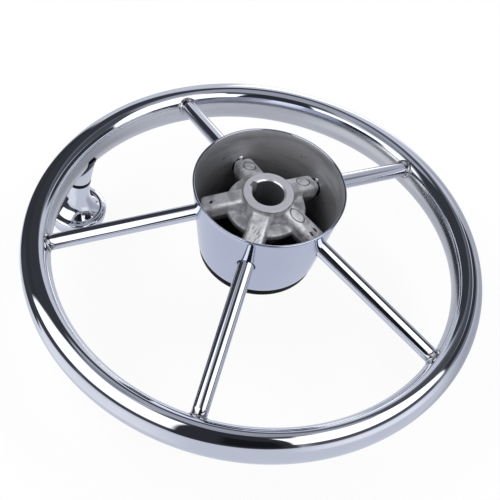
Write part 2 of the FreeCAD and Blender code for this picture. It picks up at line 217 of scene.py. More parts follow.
class Pattern(Recipe):
    """Geometry nodes with named inputs, laid on a piece and then turned into its mesh."""

    def __init__(self, name, inputs):
        tree = bpy.data.node_groups.new(name, "GeometryNodeTree")
        super().__init__(tree)
        sockets = [("Shape", "Geometry", "INPUT")]
        sockets += [(label, kind, "INPUT") for label, kind in inputs]
        sockets += [("Finish", "Material", "INPUT"), ("Shape", "Geometry", "OUTPUT")]
        for label, kind, way in sockets:
            tree.interface.new_socket(label, in_out=way, socket_type="NodeSocket" + kind)
        self.entry = tree.nodes.new("NodeGroupInput")
        self.exit = tree.nodes.new("NodeGroupOutput")

    def given(self, label):
        return Field(self, self.entry.outputs[label])

    def close(self, shape):
        """Ends the tree: instances made real, finish put on."""
        real = self.node("GeometryNodeRealizeInstances", None, [shape])
        painted = self.node(
            "GeometryNodeSetMaterial", None, {"Geometry": real, "Material": self.given("Finish")}
        )
        self.feed(self.exit.inputs[0], painted)

    def bake(self, piece, values):
        """Lays the tree on a piece with its sizes and keeps the result as a plain mesh."""
        modifier = piece.modifiers.new(self.tree.name, "NODES")
        modifier.node_group = self.tree
        for item in self.tree.interface.items_tree:
            if item.in_out == "INPUT" and item.name in values:
                modifier[item.identifier] = values[item.name]
        mesh = applied(piece)
        outward(piece)
        mesh.polygons.foreach_set("use_smooth", [True] * len(mesh.polygons))
        return piece


class Finish(Recipe):
    """One surface finish: a material and the nodes that vary it."""

    def __init__(self, name, **constants):
        self.material = bpy.data.materials.new(name)
        self.material.use_nodes = True
        super().__init__(self.material.node_tree)
        self.surface = self.tree.nodes["Principled BSDF"]
        for socket, value in constants.items():
            self.surface.inputs[socket.replace("_", " ")].default_value = value

    def place(self):
        return self.node("ShaderNodeTexCoord", out="Object")

    def axes(self, place):
        parts = self.node("ShaderNodeSeparateXYZ", None, [place])
        outputs = parts.socket.node.outputs
        return [Field(self, outputs[i]) for i in range(3)]

    def distance(self, place, point):
        return self.node(
            "ShaderNodeVectorMath", {"operation": "DISTANCE"}, [place, point], out="Value"
        )

    def spoke_place(self, place):
        """Distance along the nearest spoke from the shaft's axis, across it, and above it."""
        x, y, z = self.axes(place)
        sector = math.tau / SPOKE_COUNT
        angle = self.maths("ARCTAN2", y, x)
        turn = angle - self.maths("ROUND", angle / sector) * sector
        radius = self.maths("SQRT", x * x + y * y)
        along = radius * self.maths("COSINE", turn)
        above = (z - SPOKE_APEX_Z + along * math.tan(SPOKE_SLOPE)) * math.cos(SPOKE_SLOPE)
        return along, radius * self.maths("SINE", turn), above

    def ramp(self, value, low, high, first=0.0, last=1.0):
        """Smooth step of a value from one number to another, clamped."""
        return self.node(
            "ShaderNodeMapRange",
            {"interpolation_type": "SMOOTHSTEP"},
            [value, low, high, first, last],
        )

    def grain(self, place, scale, detail=3.0, roughness=0.55, stretch=(1, 1, 1)):
        """Fractal noise of a given scale per metre, stretched along the axes."""
        scaled = self.node(
            "ShaderNodeVectorMath", {"operation": "MULTIPLY"}, [place, stretch]
        )
        return self.node(
            "ShaderNodeTexNoise",
            {"noise_dimensions": "3D"},
            {"Vector": scaled, "Scale": scale, "Detail": detail, "Roughness": roughness},
        )

    def blend(self, factor, first, second):
        """Mix of two colours by a factor."""
        node = self.tree.nodes.new("ShaderNodeMix")
        node.data_type = "RGBA"
        for index, value in ((0, factor), (6, first), (7, second)):
            self.feed(node.inputs[index], value)
        return Field(self, node.outputs[2])

    def set(self, socket, value):
        self.feed(self.surface.inputs[socket], value)

    def bump(self, height, distance, strength=1.0, under=None):
        values = {"Strength": strength, "Distance": distance, "Height": height}
        if under is not None:
            values["Normal"] = under
        return self.node("ShaderNodeBump", None, values)


def grey(value, blue=1.0):
    return (value, value * (1 + (blue - 1) / 2), value * blue, 1)


def turned(point, angle):
    cos, sin = math.cos(angle), math.sin(angle)
    return Vector((point[0] * cos - point[1] * sin, point[0] * sin + point[1] * cos, point[2]))


def spoke_angle(index):
    return math.tau * index / SPOKE_COUNT


def spoke_point(distance, index=0):
    """Point on a spoke's axis at a distance from the shaft's axis."""
    z = SPOKE_APEX_Z - distance * math.tan(SPOKE_SLOPE)
    return turned((distance, 0, z), spoke_angle(index))


def rim_gap(point):
    """Distance of a point from the oval rim tube's surface, negative inside it."""
    across = (math.hypot(point[0], point[1]) - RIM_R) / RIM_HALF_W
    above = (point[2] - RIM_Z) / RIM_HALF_H
    level = math.hypot(across, above)
    if level < 1e-6:
        return -RIM_HALF_W
    steepness = math.hypot(across / RIM_HALF_W, above / RIM_HALF_H) / level
    return (level - 1) / steepness


def rod_frame(index):
    """Direction of a spoke and its two cross directions."""
    angle = spoke_angle(index)
    along = turned((math.cos(SPOKE_SLOPE), 0, -math.sin(SPOKE_SLOPE)), angle)
    side = turned((0, 1, 0), angle)
    rise = turned((math.sin(SPOKE_SLOPE), 0, math.cos(SPOKE_SLOPE)), angle)
    return along, side, rise


def arm_top(index, distance, across):
    """Point on the rear face of one of the casting's arms."""
    _, side, rise = rod_frame(index)
    return spoke_point(distance, index) + rise * ARM_HALF_H + side * across


def nub_centre(index):
    """Centre of the tack that sits on an arm's end against the shell."""
    return spoke_point(NUB_ALONG, index) + rod_frame(index)[2] * NUB_ABOVE


def new_piece(name, points, faces, materials, slots=None, smooth=True):
    mesh = bpy.data.meshes.new(name)
    mesh.from_pydata(points, [], faces)
    for material in materials:
        mesh.materials.append(material)
    if slots:
        mesh.polygons.foreach_set("material_index", slots)
    mesh.polygons.foreach_set("use_smooth", [smooth] * len(mesh.polygons))
    mesh.update()
    piece = bpy.data.objects.new(name, mesh)
    bpy.context.collection.objects.link(piece)
    return piece


def loft(rings, close_rings=False):
    """Points and quads through rings of equal length, each ring a closed loop."""
    count = len(rings[0])
    points = [point for ring in rings for point in ring]
    faces = []
    last = len(rings) if close_rings else len(rings) - 1
    for i in range(last):
        low = i * count
        high = (i + 1) % len(rings) * count
        for j in range(count):
            k = (j + 1) % count
            faces.append((low + j, low + k, high + k, high + j))
    return points, faces


def outward(piece):
    """Turns the faces of a closed piece outwards."""
    work = bmesh.new()
    work.from_mesh(piece.data)
    bmesh.ops.remove_doubles(work, verts=work.verts, dist=1e-7)
    bmesh.ops.recalc_face_normals(work, faces=work.faces)
    work.to_mesh(piece.data)
    work.free()
    return piece


def turned_piece(name, profile, materials, slots=None, centre=(0, 0), count=192):
    """Closed piece turned about a vertical axis from (radius, z) points."""
    rings = []
    for i in range(count):
        angle = math.tau * i / count
        cos, sin = math.cos(angle), math.sin(angle)
        rings.append([(centre[0] + r * cos, centre[1] + r * sin, z) for r, z in profile])
    points, faces = loft(rings, close_rings=True)
    spread = None
    if slots:
        spread = slots * count
    piece = new_piece(name, points, faces, materials, spread)
    return outward(piece)


def arc(centre, radius, start, end, count):
    """Points of an arc in degrees, first and last included."""
    points = []
    for i in range(count + 1):
        angle = math.radians(start + (end - start) * i / count)
        points.append((centre[0] + radius * math.cos(angle), centre[1] + radius * math.sin(angle)))
    return points


def quarter(centre, half_r, half_z, start, end, count):
    """Points of an ellipse's arc in degrees about a centre."""
    points = []
    for i in range(count + 1):
        angle = math.radians(start + (end - start) * i / count)
        points.append((centre[0] + half_r * math.cos(angle), centre[1] + half_z * math.sin(angle)))
    return points


def divided(points, length):
    """Profile with its long straight runs divided."""
    result = [points[0]]
    for a, b in zip(points, points[1:]):
        steps = max(1, int(math.hypot(b[0] - a[0], b[1] - a[1]) / length))
        for i in range(1, steps + 1):
            t = i / steps
            result.append((a[0] + (b[0] - a[0]) * t, a[1] + (b[1] - a[1]) * t))
    return result


def joint_heat(finish, place, points, reach):
    """Mask of the heat tint round welded joints, uneven by noise."""
    total = 0.0
    for point in points:
        near = finish.ramp(finish.distance(place, tuple(point)), reach, reach * 0.35)
        total = finish.maths("MAXIMUM", total, near)
    mottle = finish.grain(place, 260.0, 2.0)
    return total * finish.ramp(mottle, 0.35, 0.65)


def polished_steel(name, joints=(), ripple=0.05 * MM, satin_and_shade=None, dark=None):
    """Mirror-polished stainless: buffing haze, fine scratches, slight ripples, heat tint.

    One mask picks the less polished parts, rougher there and greyed as painted reflected shade; the dark mask
    picks lines blacked as painted contact shade.
    """
    finish = Finish(name, Metallic=1.0)
    place = finish.place()
    haze = finish.grain(place, 45.0, 3.0)
    scuff = finish.grain(place, 900.0, 2.0, stretch=(1, 1, 0.15))
    scratch = finish.ramp(finish.grain(place, 1500.0, 1.0, stretch=(0.06, 1, 1)), 0.64, 0.7)
    tint, duller = (0.71, 0.73, 0.79, 1), (0.66, 0.68, 0.73, 1)
    colour = finish.blend(finish.ramp(haze, 0.3, 0.7, 0.0, 0.5), tint, duller)
    rough = 0.028 + finish.ramp(haze, 0.4, 0.8) * 0.03 + scratch * 0.03
    if joints:
        heat = joint_heat(finish, place, joints, 11 * MM)
        colour = finish.blend(heat * 0.45, colour, (0.36, 0.31, 0.29, 1))
        rough = rough + heat * 0.12
    if satin_and_shade:
        mask = satin_and_shade(finish, place)
        streak = finish.grain(place, 60.0, 3.0, stretch=(0.4, 0.4, 4))
        # Painted shade: this grey stands in for the dark ground the less polished parts reflect; the added
        # roughness is their real duller polish.
        colour = finish.blend(mask * (0.3 + streak * 0.6), colour, (0.46, 0.455, 0.45, 1))
        rough = rough + mask * (0.1 + streak * 0.16)
    if dark:
        mask = dark(finish, place)
        # Painted shade: near-black lines where the collar and knob meet the rim and the washer.
        colour = finish.blend(mask, colour, (0.012, 0.012, 0.015, 1))
        rough = rough + mask * 0.3
    finish.set("Base Color", colour)
    finish.set("Roughness", rough)
    waves = finish.bump(finish.grain(place, 38.0, 1.0), ripple)
    finish.set("Normal", finish.bump(scuff, 0.001 * MM, 1.0, under=waves))
    return finish.material


def rim_inner_satin_and_shade(finish, place):
    """Mask of the rim's inner side, which the buffing wheel hardly reaches, rougher there and greyed as painted
    shade for the dark ground it reflects.
    """
    x, y, z = finish.axes(place)
    radius = finish.maths("SQRT", x * x + y * y)
    inner = finish.ramp(radius, RIM_R - 0.55 * RIM_HALF_W, RIM_R - 0.84 * RIM_HALF_W)
    return inner * finish.ramp(z, RIM_Z + 0.8 * RIM_HALF_H, RIM_Z + 0.5 * RIM_HALF_H)


def saddle_contact_shade(finish, place):
    """Mask of the collar's lines at the rim and at the washer, blacked as painted contact shade."""
    x, y, z = finish.axes(place)
    across = (finish.maths("SQRT", x * x + y * y) - RIM_R) / RIM_HALF_W
    above = (z - RIM_Z) / RIM_HALF_H
    level = finish.maths("SQRT", across * across + above * above)
    low = SADDLE_LOW[2]
    seam = finish.ramp(level, 1.19, 1.1)
    return finish.maths("MAXIMUM", seam, finish.ramp(z, low + 1.0 * MM, low + 0.6 * MM))


def knob_contact_shade(finish, place):
    """Mask of the knob's line at the washer, blacked as painted contact shade."""
    z = finish.axes(place)[2]
    return finish.ramp(z, KNOB_HIGH[2] - 1.1 * MM, KNOB_HIGH[2] - 0.6 * MM)


def weld_steel():
    """Ground and buffed bead, a little brown from the heat."""
    finish = Finish("weld_bead", Metallic=1.0)
    place = finish.place()
    lumps = finish.grain(place, 700.0, 3.0)
    heat = finish.ramp(lumps, 0.35, 0.65)
    finish.set("Base Color", finish.blend(heat, (0.66, 0.67, 0.71, 1), (0.34, 0.32, 0.32, 1)))
    finish.set("Roughness", 0.1 + lumps * 0.2)
    finish.set("Normal", finish.bump(lumps, 0.15 * MM))
    return finish.material


def spoke_gap_shade(finish, place):
    """Mask of painted shade in the gap round each spoke where it passes through the sheet."""
    _, across, above = finish.spoke_place(place)
    away = finish.maths("SQRT", across * across + above * above)
    return finish.ramp(away, SPOKE_R + 0.95 * MM, SPOKE_R + 0.45 * MM)


def shell_outside():
    """Polished outside of the spun shell, with fine lines round it."""
    finish = Finish("shell_polished", Metallic=1.0)
    place = finish.place()
    lines = finish.grain(place, 1400.0, 2.0, stretch=(0.04, 0.04, 1))
    haze = finish.grain(place, 30.0, 3.0)
    # Painted shade in the gap round each spoke.
    gap = spoke_gap_shade(finish, place)
    colour = finish.blend(haze, (0.54, 0.575, 0.69, 1), (0.61, 0.645, 0.75, 1))
    finish.set("Base Color", finish.blend(gap, colour, (0.02, 0.02, 0.025, 1)))
    finish.set("Roughness", 0.03 + lines * 0.035 + haze * 0.02 + gap * 0.4)
    finish.set("Normal", finish.bump(lines, 0.0015 * MM))
    return finish.material


def shell_inside():
    """Satin inside of the spun shell, with the tool's rings and dark handling stains, and painted shade that
    darkens it deeper down and towards one side.
    """
    finish = Finish("shell_satin", Metallic=0.75)
    place = finish.place()
    x, y, z = finish.axes(place)
    rings = finish.grain(place, 900.0, 2.0, stretch=(0.03, 0.03, 1))
    stains = finish.grain(place, 55.0, 4.0, stretch=(0.5, 0.5, 1.8))
    streaks = finish.grain(place, 240.0, 3.0, stretch=(0.12, 0.12, 1))
    dark = finish.ramp(stains, 0.42, 0.66) * 0.6 + finish.ramp(streaks, 0.5, 0.68) * 0.5
    specks = finish.ramp(finish.grain(place, 330.0, 1.0), 0.75, 0.78)
    # Painted shade: darker deeper in the cup and towards one side.
    painted_deep_shade = finish.ramp(z, -12 * MM, -44 * MM)
    side = finish.ramp(x * -0.8 + y * -0.3, 14 * MM, 44 * MM)
    # Painted shade in the gap round each spoke.
    gap = spoke_gap_shade(finish, place)
    colour = finish.blend(dark, (0.52, 0.522, 0.54, 1), (0.33, 0.332, 0.345, 1))
    colour = finish.blend(side * 0.6, colour, (0.2, 0.205, 0.235, 1))
    colour = finish.blend(painted_deep_shade * 0.8, colour, (0.1, 0.103, 0.125, 1))
    colour = finish.blend(specks * 0.8, colour, (0.08, 0.08, 0.09, 1))
    finish.set("Base Color", finish.blend(gap, colour, (0.02, 0.02, 0.025, 1)))
    finish.set("Roughness", 0.36 + rings * 0.1 + stains * 0.08)
    finish.set("Normal", finish.bump(rings, 0.01 * MM))
    return finish.material


def cast_steel():
    """Blasted casting with machined rear face and bore, feed marks, nicks and scratches; painted shade on the
    arms' lower sides, round the boss's edge, in a pit and on the bore wall, and painted highlights on the nubs.
    """
    finish = Finish("hub_cast", Metallic=0.85)
    place = finish.place()
    x, y, z = finish.axes(place)
    radius = finish.maths("SQRT", x * x + y * y)
    along, across, above = finish.spoke_place(place)
    skin = finish.grain(place, 1300.0, 4.0, 0.6)
    patches = finish.grain(place, 160.0, 4.0)
    pits = finish.ramp(finish.grain(place, 420.0, 2.0), 0.7, 0.76)
    lines = finish.grain(place, 620.0, 2.0, stretch=(0.15, 1, 1))
    face = finish.ramp(z, -0.5 * MM, -0.1 * MM) * finish.ramp(radius, BOSS_R, BOSS_R - 0.8 * MM)
    # Painted shade: the wall inside the bore is darkened.
    wall = finish.ramp(radius, BORE_MOUTH_R + 0.5 * MM, BORE_MOUTH_R + 0.1 * MM)
    # Painted shade: dark ring on the step round the boss's edge.
    edge = finish.ramp(finish.maths("ABSOLUTE", radius - (BOSS_R - 0.2 * MM)), 0.7 * MM, 0.0)
    edge = edge * finish.ramp(z, -1.6 * MM, -0.6 * MM)
    top = finish.ramp(above, ARM_HALF_H - 2.2 * MM, ARM_HALF_H - 0.6 * MM)
    outlines = 0.0
    for i, distance in enumerate(PAD_PLACES):
        middle = turned((distance, 0, SPOKE_APEX_Z - distance * math.tan(SPOKE_SLOPE)), spoke_angle(i))
        middle += rod_frame(i)[2] * ARM_HALF_H
        here = finish.ramp(finish.distance(place, tuple(middle)), 9 * MM, 8 * MM)
        long = (along - distance) / (PAD_HALF_L * math.cos(SPOKE_SLOPE))
        wide = across / PAD_HALF_W
        level = finish.maths("SQRT", long * long + wide * wide)
        ring = finish.ramp(finish.maths("ABSOLUTE", level - 1.04), 0.17, 0.03)
        outlines = finish.maths("MAXIMUM", outlines, ring * here)
    outlines = outlines * top
    # Painted shade: the pit on the fourth arm is darkened in colour as well as dented.
    pit = finish.ramp(finish.distance(place, tuple(arm_top(3, 29.6 * MM, 0.8 * MM))), 1.5 * MM, 0.7 * MM)
    slots = 0.0
    for side in (-2.2 * MM, 1.6 * MM):
        spot = (along - 32.5 * MM) / 2.4, across - side
        gap = finish.maths("SQRT", spot[0] * spot[0] + spot[1] * spot[1])
        slots = finish.maths("MAXIMUM", slots, finish.ramp(gap, 0.85 * MM, 0.4 * MM))
    first_arm = finish.ramp(finish.distance(place, tuple(arm_top(0, 32.5 * MM, 0.0))), 8 * MM, 7 * MM)
    last_arm = finish.ramp(finish.distance(place, tuple(arm_top(4, 28 * MM, 0.0))), 12 * MM, 9 * MM)
    scores = finish.ramp(finish.grain(place, 900.0, 1.0, stretch=(1, 0.18, 0.4)), 0.6, 0.68) * last_arm
    dark = finish.maths("MAXIMUM", outlines * 0.75, pit)
    dark = finish.maths("MAXIMUM", dark, slots * first_arm * top)
    dark = finish.maths("MAXIMUM", dark, pits * 0.55)
    dark = finish.maths("MAXIMUM", dark, scores * 0.5)
    dark = finish.maths("MAXIMUM", dark, edge * 0.65)
    stain = finish.ramp(patches, 0.42, 0.62)
    # Painted shade: the arms darken towards their lower sides.
    low = finish.ramp(above, ARM_HALF_H - 2.5 * MM, -ARM_HALF_H)
    chamfer = finish.ramp(z, -1.1 * MM, -0.8 * MM)
    chamfer = chamfer * finish.ramp(radius, BORE_MOUTH_R + 1.0 * MM, BORE_MOUTH_R + 0.8 * MM)
    colour = finish.blend(stain, (0.88, 0.88, 0.91, 1), (0.54, 0.54, 0.57, 1))
    colour = finish.blend(finish.ramp(lines, 0.5, 0.7) * 0.3, colour, (0.34, 0.345, 0.37, 1))
    colour = finish.blend(low * 0.8, colour, (0.2, 0.202, 0.215, 1))
    colour = finish.blend(last_arm * top * 0.7, colour, (0.97, 0.97, 0.99, 1))
    colour = finish.blend(face, colour, (0.84, 0.84, 0.87, 1))
    colour = finish.blend(wall, colour, (0.34, 0.345, 0.38, 1))
    colour = finish.blend(chamfer, colour, (0.8, 0.81, 0.84, 1))
    colour = finish.blend(dark, colour, (0.05, 0.05, 0.055, 1))
    # Painted highlight: the nubs are whitened to stand in for their glint.
    nub_painted_glint = 0.0
    for arm in NUB_ARMS:
        away = finish.distance(place, tuple(nub_centre(arm)))
        nub_painted_glint = finish.maths("MAXIMUM", nub_painted_glint, finish.ramp(away, NUB_R * 1.3, NUB_R * 1.1))
    colour = finish.blend(nub_painted_glint, colour, (0.97, 0.97, 0.98, 1))
    finish.set("Base Color", colour)
    shine = face * 0.08 + wall * 0.16 + chamfer * 0.16 + nub_painted_glint * 0.2
    finish.set("Roughness", 0.46 + patches * 0.12 - shine)
    relief = skin * 0.07 + lines * 0.05 - outlines * 0.25 - pit * 0.8 - slots * first_arm * 0.5
    finish.set("Normal", finish.bump(relief, 1.0 * MM))
    return finish.material


def moulded_black():
    finish = Finish("moulded_black", Metallic=0.0, Specular_IOR_Level=0.06)
    place = finish.place()
    texture = finish.grain(place, 1600.0, 2.0)
    wear = finish.grain(place, 60.0, 3.0)
    finish.set("Base Color", finish.blend(wear, (0.002, 0.002, 0.003, 1), (0.004, 0.004, 0.006, 1)))
    finish.set("Roughness", 0.3 + wear * 0.12)
    finish.set("Normal", finish.bump(texture, 0.02 * MM))
    return finish.material


def machined_metal(name, colour, roughness):
    """Plain turned metal of the knob's hidden pieces."""
    finish = Finish(name, Metallic=1.0)
    place = finish.place()
    turning = finish.grain(place, 1500.0, 2.0, stretch=(0.05, 0.05, 1))
    darker = tuple(c * 0.85 for c in colour[:3]) + (1,)
    finish.set("Base Color", finish.blend(turning, colour, darker))
    finish.set("Roughness", roughness + turning * 0.12)
    finish.set("Normal", finish.bump(turning, 0.01 * MM))
    return finish.material


def make_rim(material):
    """Oval tube bent to a closed ring, swept by geometry nodes."""
    sizes = ("Ring radius", "Half width", "Half height", "Height")
    steps = ("Steps round", "Steps across")
    inputs = [(label, "Float") for label in sizes] + [(label, "Int") for label in steps]
    pattern = Pattern("bent_tube", inputs)
    ring = pattern.node(
        "GeometryNodeCurvePrimitiveCircle",
        None,
        {"Resolution": pattern.given("Steps round"), "Radius": pattern.given("Ring radius")},
    )
    section = pattern.node(
        "GeometryNodeCurvePrimitiveCircle",
        None,
        {"Resolution": pattern.given("Steps across"), "Radius": 1.0},
    )
    half_sizes = [pattern.given("Half width"), pattern.given("Half height"), 1.0]
    oval = pattern.node("ShaderNodeCombineXYZ", None, half_sizes)
    section = pattern.node("GeometryNodeTransform", None, {"Geometry": section, "Scale": oval})
    tube = pattern.node(
        "GeometryNodeCurveToMesh", None, {"Curve": ring, "Profile Curve": section}
    )
    lift = pattern.node("ShaderNodeCombineXYZ", None, [0.0, 0.0, pattern.given("Height")])
    pattern.close(
        pattern.node("GeometryNodeTransform", None, {"Geometry": tube, "Translation": lift})
    )
    values = {
        "Ring radius": RIM_R,
        "Half width": RIM_HALF_W,
        "Half height": RIM_HALF_H,
        "Height": RIM_Z,
        "Steps round": 360,
        "Steps across": 72,
        "Finish": material,
    }
    return pattern.bake(new_piece("rim_tube", [], [], []), values)


def coped_length(start, direction, inside=0.0):
    """Distance from a point along a direction to the rim tube's surface."""
    reach = 0.0
    for _ in range(80):
        gap = rim_gap(start + direction * reach) + inside
        if gap < 1e-8:
            break
        reach += gap * 0.7
    return reach


def hub_copies():
    """Pattern that repeats a piece round the hub and lumps its surface a little."""
    pattern = Pattern("round_the_hub", [("Copies", "Int"), ("Lump", "Float"), ("Lump scale", "Float")])
    copies = pattern.given("Copies")
    starts = pattern.node("GeometryNodeMeshLine", None, {"Count": copies, "Offset": (0, 0, 0)})
    step = pattern.node("GeometryNodeInputIndex") * (math.tau / copies)
    turn = pattern.node("ShaderNodeCombineXYZ", None, [0.0, 0.0, step])
    ring = pattern.node(
        "GeometryNodeInstanceOnPoints",
        None,
        {"Points": starts, "Instance": pattern.given("Shape"), "Rotation": turn},
    )
    real = pattern.node("GeometryNodeRealizeInstances", None, [ring])
    lumps = pattern.node(
        "ShaderNodeTexNoise",
        {"noise_dimensions": "3D"},
        {
            "Vector": pattern.node("GeometryNodeInputPosition"),
            "Scale": pattern.given("Lump scale"),
            "Detail": 2.0,
        },
    )
    height = (lumps - 0.5) * pattern.given("Lump")
    push = pattern.node(
        "ShaderNodeVectorMath",
        {"operation": "SCALE"},
        {"Vector": pattern.node("GeometryNodeInputNormal"), "Scale": height},
    )
    pattern.close(
        pattern.node("GeometryNodeSetPosition", None, {"Geometry": real, "Offset": push})
    )
    return pattern


def make_spoke():
    """Round bar from the hub's arm to the rim, coped to the tube."""
    along, side, rise = rod_frame(0)
    start = spoke_point(SPOKE_LOW[0] + SPOKE_R * math.sin(SPOKE_SLOPE))
    count = 64
    lines = 24
    rings = [[start] * count]
    for step in range(lines + 1):
        ring = []
        for j in range(count):
            angle = math.tau * j / count
            offset = side * (SPOKE_R * math.cos(angle)) + rise * (SPOKE_R * math.sin(angle))
            length = coped_length(start + offset, along, -0.1 * MM)
            ring.append(start + offset + along * (length * step / lines))
        rings.append(ring)
    middle = start + along * coped_length(start, along, -0.1 * MM)
    rings.append([middle] * count)
    points, faces = loft(rings)
    return outward(new_piece("spoke_bars", points, faces, []))


def make_weld():
    """Ground fillet bead round the first spoke's end."""
    along, side, rise = rod_frame(0)
    start = spoke_point(RIM_R - 4 * TUBE_R)
    count = 120
    profile = 10
    rings = []
    for j in range(count):
        angle = math.tau * j / count
        out = side * math.cos(angle) + rise * math.sin(angle)
        inner = start + out * (SPOKE_R - 0.1 * MM)
        on_bar = inner + along * (coped_length(inner, along) - WELD_LEG)
        outer = start + out * (SPOKE_R + WELD_LEG)
        on_rim = outer + along * (coped_length(outer, along, -0.1 * MM))
        corner = start + out * SPOKE_R
        corner = corner + along * coped_length(corner, along)
        pull = corner + (on_bar - corner) * 0.25 + (on_rim - corner) * 0.25
        buried = start + out * (SPOKE_R - 0.6 * MM)
        buried = buried + along * coped_length(buried, along, -0.7 * MM)
        ring = []
        for k in range(profile + 1):
            t = k / profile
            ring.append(on_bar * (1 - t) ** 2 + pull * (2 * t * (1 - t)) + on_rim * t * t)
        ring.append(buried)
        rings.append(ring)
    points, faces = loft(rings, close_rings=True)
    return outward(new_piece("weld_beads", points, faces, []))


def make_shell(outside, inside):
    rear = SHELL_HIGH[2]
    front = SHELL_LOW[2]
    fall = (SHELL_OPEN_R - SHELL_FRONT_R) / (rear - front)
    edge = SHELL_SHEET / 2
    lip_r = SHELL_FRONT_R - SHELL_LIP_W
    inner_front = SHELL_OPEN_R - fall * (rear - front - SHELL_SHEET) - SHELL_SHEET
    wall_top = (SHELL_OPEN_R, rear - edge * 0.6)
    bend = SHELL_BEND_R
    lean = math.degrees(math.atan(fall))
    wall_end = (SHELL_FRONT_R + fall * bend, front + bend)
    bend_arc = arc((SHELL_FRONT_R - bend * 0.92, front + bend), bend, -lean, -90, 10)
    outer = divided([wall_top, wall_end], 3 * MM) + bend_arc[1:]
    lip = [(lip_r + 0.2 * MM, front), (lip_r, front + 0.2 * MM), (lip_r, front + SHELL_SHEET)]
    inner = divided([(inner_front, front + SHELL_SHEET), (SHELL_OPEN_R - SHELL_SHEET, rear - edge * 0.6)], 3 * MM)
    rim_edge = [
        (SHELL_OPEN_R - SHELL_SHEET * 0.86, rear - edge * 0.2),
        (SHELL_OPEN_R - SHELL_SHEET * 0.6, rear),
        (SHELL_OPEN_R - SHELL_SHEET * 0.35, rear),
        (SHELL_OPEN_R - SHELL_SHEET * 0.1, rear - edge * 0.2),
    ]
    profile = outer + lip + inner + rim_edge
    slots = [0] * (len(outer) + len(lip) - 1) + [1] * len(inner) + [0] * (len(rim_edge) + 1)
    slots = slots[: len(profile)]
    return turned_piece("hub_cup", profile, [outside, inside], slots, count=256)


def make_knob(material):
    """Turned knob with neck, cove, groove, bead and rounded front."""
    top = KNOB_HIGH[2]
    front = KNOB_LOW[2]
    cove = top - KNOB_NECK_L
    bead = cove - KNOB_COVE_L
    wide = bead - KNOB_BEAD_REAR_H
    bead_r = KNOB_HEAD_R - KNOB_BEAD_W
    groove_r = bead_r - KNOB_GROOVE
    profile = [(KNOB_NECK_R - 1.2 * MM, top)]
    profile += arc((KNOB_NECK_R - 0.3 * MM, top - 0.3 * MM), 0.3 * MM, 90, 0, 4)
    profile += divided([(KNOB_NECK_R, top - 0.5 * MM), (KNOB_NECK_R, cove)], 1.2 * MM)[:-1]
    for i in range(41):
        t = i / 40
        r = KNOB_NECK_R + (groove_r - KNOB_NECK_R) * t**KNOB_COVE_TURN
        profile.append((r, cove - (cove - bead + KNOB_GROOVE) * t))
    profile += [(bead_r, bead)]
    profile += quarter((bead_r, wide), KNOB_BEAD_W, bead - wide, 90, 0, 14)[1:]
    profile += quarter((bead_r, wide), KNOB_BEAD_W, wide - front, 0, -90, 24)[1:]
    profile += [(KNOB_RECESS_R + 0.2 * MM, front), (KNOB_RECESS_R, front + 0.2 * MM)]
    profile += [(KNOB_RECESS_R, front + KNOB_RECESS_L), (KNOB_NECK_R - 1.2 * MM, front + KNOB_RECESS_L)]
    return turned_piece("knob_turned", profile, [material], centre=(KNOB_X, 0), count=160)


def make_saddle(material):
    """Collar flared towards the rim and coped to its tube, with a small fillet there."""
    count = 96
    steps = 16
    low = SADDLE_LOW[2]
    rings = [[Vector((KNOB_X, 0, low + 0.01 * MM))] * count]
    edge = 0.35 * MM
    for inset, rise in ((edge, 0.0), (edge * 0.3, edge * 0.3), (0.0, edge)):
        ring = []
        for j in range(count):
            angle = math.tau * j / count
            r = SADDLE_END_R - inset
            ring.append(Vector((KNOB_X + r * math.cos(angle), r * math.sin(angle), low + rise)))
        rings.append(ring)
    columns = []
    for j in range(count):
        angle = math.tau * j / count
        out = Vector((math.cos(angle), math.sin(angle), 0))
        z = low + edge
        column = []
        top = z
        for _ in range(60):
            r = SADDLE_END_R + SADDLE_FLARE * (top - low)
            point = Vector((KNOB_X, 0, 0)) + out * r + Vector((0, 0, top))
            top = min(top + max(rim_gap(point), 0) * 0.7, RIM_Z)
        for k in range(1, steps + 1):
            t = k / steps
            h = z + (top - z) * t
            r = SADDLE_END_R + SADDLE_FLARE * (h - low)
            flare = max(0.0, t - 0.86) / 0.14
            r += flare * flare * 0.5 * MM
            column.append(Vector((KNOB_X, 0, h)) + out * r)
        columns.append(column)
    for k in range(steps):
        rings.append([columns[j][k] for j in range(count)])
    rings.append([Vector((KNOB_X, 0, RIM_Z - TUBE_R + 0.5 * MM))] * count)
    points, faces = loft(rings)
    return outward(new_piece("knob_collar", points, faces, [material]))


def machined_again(point):
    """Snaps a remeshed point of the casting back onto its machined surfaces."""
    x, y, z = point
    r = math.hypot(x, y)
    wall = BORE_MOUTH_R + z * BORE_TAPER
    in_keyway = x < 0 and abs(y) < KEYWAY_HALF_W + 0.35 * MM
    if abs(z) < 0.3 * MM and BORE_MOUTH_R + BORE_CHAMFER < r < BOSS_R - 0.7 * MM:
        return Vector((x, y, 0))
    if in_keyway or r < 1e-6:
        return point
    if -BORE_DEPTH + 0.6 * MM < z < -BORE_CHAMFER and abs(r - wall) < 0.4 * MM:
        return Vector((x * wall / r, y * wall / r, z))
    return point


def applied(piece):
    """Turns a piece with its modifiers into a plain mesh."""
    bpy.context.view_layer.update()
    evaluated = piece.evaluated_get(bpy.context.evaluated_depsgraph_get())
    mesh = bpy.data.meshes.new_from_object(evaluated)
    piece.modifiers.clear()
    piece.data = mesh
    return mesh


